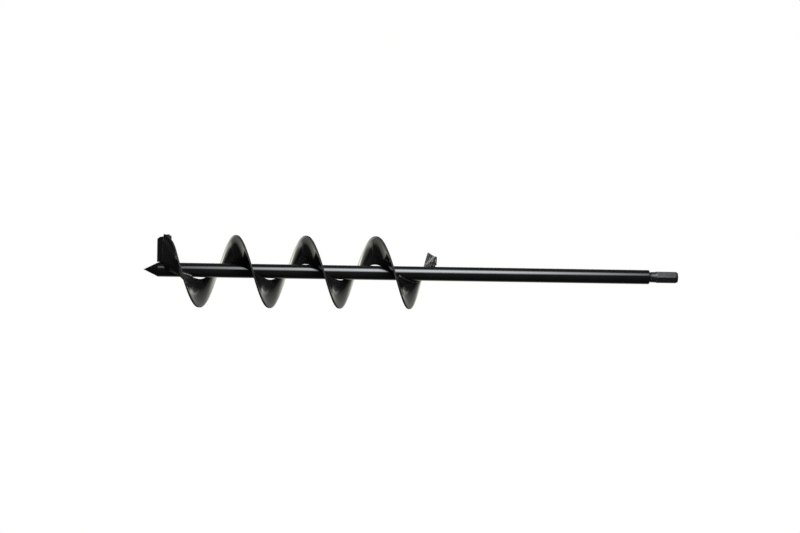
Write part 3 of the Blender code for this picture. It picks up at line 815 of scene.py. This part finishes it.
def make_root_beads(material):
    """Beads between the flight and the tube. The first is the widest, and the tail's is on the tip side."""
    for index, (name, (start, end)) in enumerate(ROOT_WELD_ANGLES.items()):
        at_start = name == "flight_start_weld"
        lift = START_BEAD_LIFT if at_start else ROOT_BEAD_LIFT
        radius = START_BEAD_RADIUS if at_start else ROOT_BEAD_RADIUS
        path = root_path(start, end, lift)
        make_bead(name, path, radius, ROOT_BEAD_FLATNESS, material, ROOT_BEAD_SEED + index)
    tail = root_path(*TAIL_WELD_ANGLES, -ROOT_BEAD_LIFT)
    make_bead("flight_tail_weld", tail, ROOT_BEAD_RADIUS, 1.0, material, TAIL_BEAD_SEED)


def blade_weld_paths():
    """Each blade weld's corners, radius and flatness, in the order in which they are laid."""
    edge = []
    for height in EDGE_WELD_HEIGHTS:
        foot = flight_point(FLIGHT_START_ANGLE, height)
        chord = (foot - blade_origin()).dot(CHORD_AXIS) + EDGE_WELD_CHORD_SHIFT
        edge.append(blade_point(chord, EDGE_WELD_DEPTH, foot.y))
    outer = BLADE_OUTER_HEIGHT + RIM_WELD_LIFT
    rim = [blade_point(chord, RIM_WELD_DEPTH, outer) for chord in RIM_WELD_CHORDS]
    behind = BLADE_CHORD + TRAILING_WELD_CHORD_SHIFT
    trailing = [blade_point(behind, TRAILING_WELD_DEPTH, height) for height in TRAILING_WELD_HEIGHTS]
    root = BLADE_INNER_HEIGHT + BLADE_ROOT_WELD_LIFT
    front = [blade_point(chord, -BLADE_ROOT_WELD_OFFSET, root) for chord in FRONT_ROOT_WELD_CHORDS]
    back_depth = BLADE_THICKNESS + BLADE_ROOT_WELD_OFFSET
    back = [blade_point(chord, back_depth, root) for chord in BACK_ROOT_WELD_CHORDS]
    return {
        "blade_edge_weld": (edge, EDGE_BEAD_RADIUS, 1.0),
        "blade_rim_weld": (rim, BLADE_BEAD_RADIUS, 1.0),
        "blade_trailing_weld": (trailing, TRAILING_BEAD_RADIUS, 1.0),
        "blade_root_weld": (front, BLADE_BEAD_RADIUS, BLADE_ROOT_FLATNESS),
        "blade_back_root_weld": (back, BLADE_BEAD_RADIUS, BLADE_ROOT_FLATNESS),
    }


def make_blade_beads(material):
    for index, (name, (corners, radius, flatness)) in enumerate(blade_weld_paths().items()):
        make_bead(name, corners, radius, flatness, material, BLADE_BEAD_SEED + index)


# ---------------------------------------------------------------- materials


def add_node(tree, kind, inputs=None, **settings):
    """New shader node. An input is a value, or a socket to link it to."""
    node = tree.nodes.new(kind)
    for name, value in settings.items():
        setattr(node, name, value)
    for name, value in (inputs or {}).items():
        if isinstance(value, bpy.types.NodeSocket):
            tree.links.new(value, node.inputs[name])
        else:
            node.inputs[name].default_value = value
    return node


def new_shader(name):
    material = bpy.data.materials.new(name)
    material.use_nodes = True
    tree = material.node_tree
    shader = tree.nodes["Principled BSDF"]
    place = add_node(tree, "ShaderNodeTexCoord").outputs["Object"]
    return material, tree, shader, place


def speckle(tree, place, scale, detail=2.0, roughness=0.5):
    settings = {"Vector": place, "Scale": scale, "Detail": detail, "Roughness": roughness}
    return add_node(tree, "ShaderNodeTexNoise", settings).outputs["Fac"]


def remap(tree, value, low, high, to_low, to_high):
    settings = {"Value": value, "From Min": low, "From Max": high, "To Min": to_low, "To Max": to_high}
    return add_node(tree, "ShaderNodeMapRange", settings).outputs["Result"]


def combine(tree, operation, first, second):
    return add_node(tree, "ShaderNodeMath", {0: first, 1: second}, operation=operation).outputs[0]


def mix_colour(tree, share, first, second):
    settings = {0: share, 6: first, 7: second}
    return add_node(tree, "ShaderNodeMix", settings, data_type="RGBA").outputs[2]


def stretched(tree, place, scale):
    return add_node(tree, "ShaderNodeMapping", {"Vector": place, "Scale": scale}).outputs["Vector"]


def bump(tree, height, distance, strength=1.0, under=None):
    settings = {"Height": height, "Distance": distance, "Strength": strength}
    if under is not None:
        settings["Normal"] = under
    return add_node(tree, "ShaderNodeBump", settings).outputs["Normal"]


def mesh_share(tree, name):
    """The share that a mesh stores at its points under this name."""
    return add_node(tree, "ShaderNodeAttribute", attribute_name=name).outputs["Fac"]


def wear_mask(tree, place, scale, start):
    """Small chips that keep to the edges marked on the mesh."""
    speckles = speckle(tree, place, scale, detail=4.0, roughness=0.65)
    chips = remap(tree, speckles, start, start + CHIP_SOFTNESS, 0.0, 1.0)
    return combine(tree, "MULTIPLY", mesh_share(tree, "edge"), chips)


def scuff_and_highlight_mask(tree, place):
    """Fine scuff streaks and one painted highlight streak (a reflection painted as a pale band), which keep
    to the scuffed part of the mesh.
    """
    along = stretched(tree, place, STREAK_STRETCH)
    streaks = speckle(tree, along, STREAK_SCALE, detail=4.0, roughness=0.7)
    # Painted highlight streak: pale within a half width of a plane across the tail, broken up by the streak
    # noise
    across = add_node(tree, "ShaderNodeVectorMath", {0: place, 1: HIGHLIGHT_STREAK_NORMAL}, operation="DOT_PRODUCT")
    off_highlight = combine(tree, "SUBTRACT", across.outputs["Value"], HIGHLIGHT_STREAK_DISTANCE)
    off_highlight = combine(tree, "ABSOLUTE", off_highlight, 0.0)
    painted_highlight = remap(tree, off_highlight, HIGHLIGHT_STREAK_HALF_WIDTH * HIGHLIGHT_STREAK_CORE_SHARE, HIGHLIGHT_STREAK_HALF_WIDTH, 1.0, 0.0)
    painted_highlight = combine(tree, "MULTIPLY", painted_highlight, remap(tree, streaks, *HIGHLIGHT_STREAK_RANGE))
    marks = combine(tree, "MAXIMUM", painted_highlight, remap(tree, streaks, *STREAK_RANGE))
    return combine(tree, "MULTIPLY", mesh_share(tree, "scuff"), marks)


def grey(tone):
    return (tone, tone, tone, 1.0)


def enamel_colour(tree, place, chips, dark, pale, chip_tone):
    """Hazy black with dust specks, bare chips, scuffs and a painted highlight streak."""
    haze = remap(tree, speckle(tree, place, HAZE_SCALE, detail=4.0), *HAZE_RANGE)
    colour = mix_colour(tree, haze, grey(dark), grey(pale))
    dust = remap(tree, speckle(tree, place, DUST_SCALE, detail=1.0), *DUST_RANGE)
    colour = mix_colour(tree, dust, colour, DUST_COLOUR)
    colour = mix_colour(tree, chips, colour, grey(chip_tone))
    # Pale grey over the scuffs and over the painted highlight streak
    return mix_colour(tree, scuff_and_highlight_mask(tree, place), colour, SCUFF_AND_HIGHLIGHT_COLOUR)


def enamel_roughness(tree, place, chips, low, high):
    """Glossy paint with faint hairlines, duller where it is chipped, scuffed, sooty or on an edge."""
    fine = remap(tree, speckle(tree, place, FINE_SCALE, detail=3.0), *FINE_RANGE, low, high)
    hairlines = speckle(tree, stretched(tree, place, HAIRLINE_STRETCH), HAIRLINE_SCALE, detail=2.0)
    rough = combine(tree, "ADD", fine, remap(tree, hairlines, *HAIRLINE_RANGE))
    dulled = (
        (chips, CHIP_ROUGHNESS),
        (mesh_share(tree, "scuff"), SCUFF_ROUGHNESS),
        (mesh_share(tree, "edge"), EDGE_ROUGHNESS),
        (mesh_share(tree, "soot"), SOOT_ROUGHNESS),
    )
    for share, amount in dulled:
        rough = combine(tree, "ADD", rough, combine(tree, "MULTIPLY", share, amount))
    return rough


def enamel(name):
    """Black stoving enamel: orange peel, faint haze, dust specks and chips at the edges."""
    dark, pale, (low, high), peel, wear_start, chip_tone = PAINTS[name]
    material, tree, shader, place = new_shader(name)
    chips = wear_mask(tree, place, PAINT_CHIP_SCALE, wear_start)
    colour = enamel_colour(tree, place, chips, dark, pale, chip_tone)
    rough = enamel_roughness(tree, place, chips, low, high)
    orange_peel = bump(tree, speckle(tree, place, PEEL_SCALE, detail=2.0), peel)
    grain = bump(tree, speckle(tree, place, GRAIN_SCALE, detail=1.0), peel * GRAIN_SHARE, under=orange_peel)
    normal = bump(tree, combine(tree, "MULTIPLY", chips, -1.0), CHIP_DEPTH, under=grain)
    tree.links.new(colour, shader.inputs["Base Color"])
    tree.links.new(rough, shader.inputs["Roughness"])
    tree.links.new(normal, shader.inputs["Normal"])
    shader.inputs["IOR"].default_value = ENAMEL_IOR
    return material


def blackened_steel(name):
    """Turned and blackened steel: fine turning lines, dull patches and bright corners."""
    material, tree, shader, place = new_shader(name)
    patches = speckle(tree, place, PATCH_SCALE, detail=4.0)
    lines = speckle(tree, stretched(tree, place, TURNING_STRETCH), 1.0, detail=3.0)
    colour = mix_colour(tree, remap(tree, patches, *PATCH_COLOUR_RANGE), STEEL_DARK, STEEL_PALE)
    colour = mix_colour(tree, remap(tree, lines, *TURNING_COLOUR_RANGE), colour, STEEL_LINE_COLOUR)
    chips = wear_mask(tree, place, STEEL_CHIP_SCALE, STEEL_CHIP_START)
    colour = mix_colour(tree, chips, colour, STEEL_CHIP_COLOUR)
    patchy = remap(tree, patches, *PATCH_ROUGHNESS_RANGE)
    rough = combine(tree, "ADD", patchy, remap(tree, lines, *TURNING_ROUGHNESS_RANGE))
    normal = bump(tree, lines, TURNING_DEPTH)
    tree.links.new(colour, shader.inputs["Base Color"])
    tree.links.new(rough, shader.inputs["Roughness"])
    tree.links.new(normal, shader.inputs["Normal"])
    bare = combine(tree, "MULTIPLY", chips, BARE_METAL_SHARE)
    tree.links.new(bare, shader.inputs["Metallic"])
    return material


# ---------------------------------------------------------------- studio


def glow_material(name, strength):
    material = bpy.data.materials.new(name)
    material.use_nodes = True
    tree = material.node_tree
    tree.nodes.remove(tree.nodes["Principled BSDF"])
    glow = add_node(tree, "ShaderNodeEmission", {"Strength": strength})
    tree.links.new(glow.outputs[0], tree.nodes["Material Output"].inputs["Surface"])
    return material, tree, glow


def add_panel(name, size, centre, normal, material):
    """Flat panel of the studio, facing along normal, with its first side along X."""
    mesh = bpy.data.meshes.new(name)
    half_x, half_y = size[0] / 2, size[1] / 2
    signs = ((-1, -1), (1, -1), (1, 1), (-1, 1))
    mesh.from_pydata([(half_x * x, half_y * y, 0.0) for x, y in signs], [], [(0, 1, 2, 3)])
    mesh.materials.append(material)
    panel = bpy.data.objects.new(name, mesh)
    bpy.context.scene.collection.objects.link(panel)
    across = Vector((1.0, 0.0, 0.0))
    up = normal.cross(across).normalized()
    turn = Matrix((across, up, normal)).transposed().to_4x4()
    panel.matrix_world = Matrix.Translation(centre) @ turn
    return panel


def glow_ramp(tree, distance, stops):
    """Glow that changes with a distance on the floor, from (distance, glow) stops."""
    share = remap(tree, distance, -FLOOR_HALF, FLOOR_HALF, 0.0, 1.0)
    ramp = add_node(tree, "ShaderNodeValToRGB", {"Fac": share})
    elements = ramp.color_ramp.elements
    while len(elements) < len(stops):
        elements.new(1.0)
    for element, (place, glow) in zip(elements, stops):
        element.position = (place + FLOOR_HALF) / (2 * FLOOR_HALF)
        element.color = (glow, glow, glow, 1.0)
    return ramp.outputs["Color"]


def make_floor(centre):
    """White floor well below the object: even for the camera, a pool of light for everything else."""
    material, tree, glow = glow_material("white_floor", FLOOR_GLOW)
    point = add_node(tree, "ShaderNodeTexCoord").outputs["Object"]
    axes = add_node(tree, "ShaderNodeSeparateXYZ", {0: point})
    along = glow_ramp(tree, axes.outputs["X"], FLOOR_GLOW_ALONG)
    across = glow_ramp(tree, axes.outputs["Y"], FLOOR_GLOW_ACROSS)
    pool = combine(tree, "MULTIPLY", along, across)
    tinted = mix_colour(tree, pool, (0.0, 0.0, 0.0, 1.0), FLOOR_POOL_TINT)
    seen = add_node(tree, "ShaderNodeLightPath").outputs["Is Camera Ray"]
    tree.links.new(mix_colour(tree, seen, tinted, FLOOR_COLOUR), glow.inputs["Color"])
    place = Vector((centre.x, 0.0, -FLOOR_DROP))
    add_panel("studio_floor", (2 * FLOOR_HALF, 2 * FLOOR_HALF), place, Vector((0.0, 0.0, 1.0)), material)


def make_softbox(centre):
    """Large softbox above the top edge of the view, brightest at its middle."""
    material, tree, glow = glow_material("softbox_cloth", SOFTBOX_GLOW)
    point = add_node(tree, "ShaderNodeTexCoord").outputs["Object"]
    scale = (2.0 / SOFTBOX_SIZE[0], 2.0 / SOFTBOX_SIZE[1], 0.0)
    reach = add_node(tree, "ShaderNodeVectorMath", {0: stretched(tree, point, scale)}, operation="LENGTH")
    span = {"Value": reach.outputs["Value"], "From Min": 1.0, "From Max": 0.0}
    fall = add_node(tree, "ShaderNodeMapRange", span, interpolation_type="SMOOTHERSTEP")
    tree.links.new(combine(tree, "MULTIPLY", fall.outputs["Result"], SOFTBOX_GLOW), glow.inputs["Strength"])
    glow.inputs["Color"].default_value = SOFTBOX_COLOUR
    turn = math.radians(SOFTBOX_ELEVATION)
    away = Vector((0.0, math.sin(turn), math.cos(turn)))
    place = centre + away * SOFTBOX_DISTANCE + Vector((SOFTBOX_SHIFT, 0.0, 0.0))
    softbox = add_panel("softbox", SOFTBOX_SIZE, place, -away, material)
    softbox.visible_camera = False


def make_room():
    """Dim room that the camera sees as plain white."""
    world = bpy.data.worlds.new("studio_room")
    bpy.context.scene.world = world
    world.use_nodes = True
    tree = world.node_tree
    dim = tree.nodes["Background"]
    dim.inputs["Color"].default_value = (1.0, 1.0, 1.0, 1.0)
    dim.inputs["Strength"].default_value = ROOM_GLOW
    pale = add_node(tree, "ShaderNodeBackground", {"Color": (1.0, 1.0, 1.0, 1.0), "Strength": FLOOR_GLOW})
    seen = add_node(tree, "ShaderNodeLightPath").outputs["Is Camera Ray"]
    both = add_node(tree, "ShaderNodeMixShader", {0: seen, 1: dim.outputs[0], 2: pale.outputs[0]})
    tree.links.new(both.outputs[0], tree.nodes["World Output"].inputs["Surface"])


def make_camera():
    data = bpy.data.cameras.new("camera")
    data.lens = CAMERA_LENS
    data.clip_end = CAMERA_DISTANCE * 4
    camera = bpy.data.objects.new("camera", data)
    bpy.context.scene.collection.objects.link(camera)
    yaw = Matrix.Rotation(math.radians(-CAMERA_YAW), 4, "Y")
    roll = Matrix.Rotation(math.radians(CAMERA_ROLL), 4, "Z")
    place = Vector((station_x(CAMERA_STATION), CAMERA_HEIGHT, CAMERA_DISTANCE))
    camera.matrix_world = Matrix.Translation(place) @ yaw @ roll
    bpy.context.scene.camera = camera


def build():
    middle = (cad_low + cad_high) / 2
    tube_paint = enamel("tube_enamel")
    flight_paint = enamel("flight_enamel")
    blade_paint = enamel("blade_enamel")
    weld_paint = enamel("weld_enamel")
    steel = blackened_steel("shank_steel")

    make_tip(tube_paint)
    make_tube(tube_paint)
    make_ring_weld(weld_paint)
    make_shank(steel)
    make_flight(flight_paint)
    for index, seam in enumerate(SEAM_ANGLES):
        make_seam_weld(index + 1, seam, flight_paint)
    make_blade(blade_paint)
    make_root_beads(weld_paint)
    make_blade_beads(weld_paint)

    make_floor(middle)
    make_softbox(middle)
    make_room()
    make_camera()
    bpy.context.scene.view_settings.view_transform = "Standard"


build()
bpy.context.view_layer.update()
